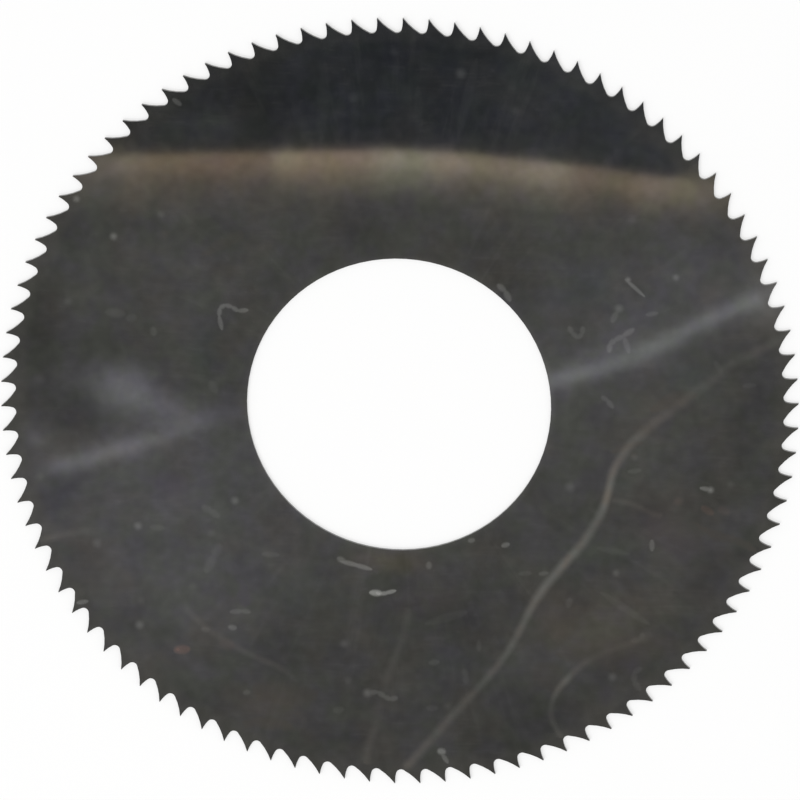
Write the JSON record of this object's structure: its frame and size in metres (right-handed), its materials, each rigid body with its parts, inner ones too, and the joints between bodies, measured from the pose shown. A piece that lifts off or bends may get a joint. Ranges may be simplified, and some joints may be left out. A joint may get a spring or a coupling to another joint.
{
  "type": "slitting saw",
  "caption": "Thin round saw of dark hardened steel for cutting narrow slots, with fine hooked teeth round its rim and a plain arbor bore.",
  "frame": {"origin": "centre of the arbor bore at half the saw's thickness", "axes": "+Z along the bore's axis, the saw's shortest extent; seen from +Z the teeth cut as it turns counter-clockwise; +Y passes through a tooth's cutting edge"},
  "size_m": [0.0666, 0.0666, 0.0004],
  "materials": {
    "tool_steel": "dark ground tool steel, finely scratched and lightly stained"
  },
  "bodies": {
    "root": {"saw_blade": "tool_steel"}
  },
  "joints": []
}
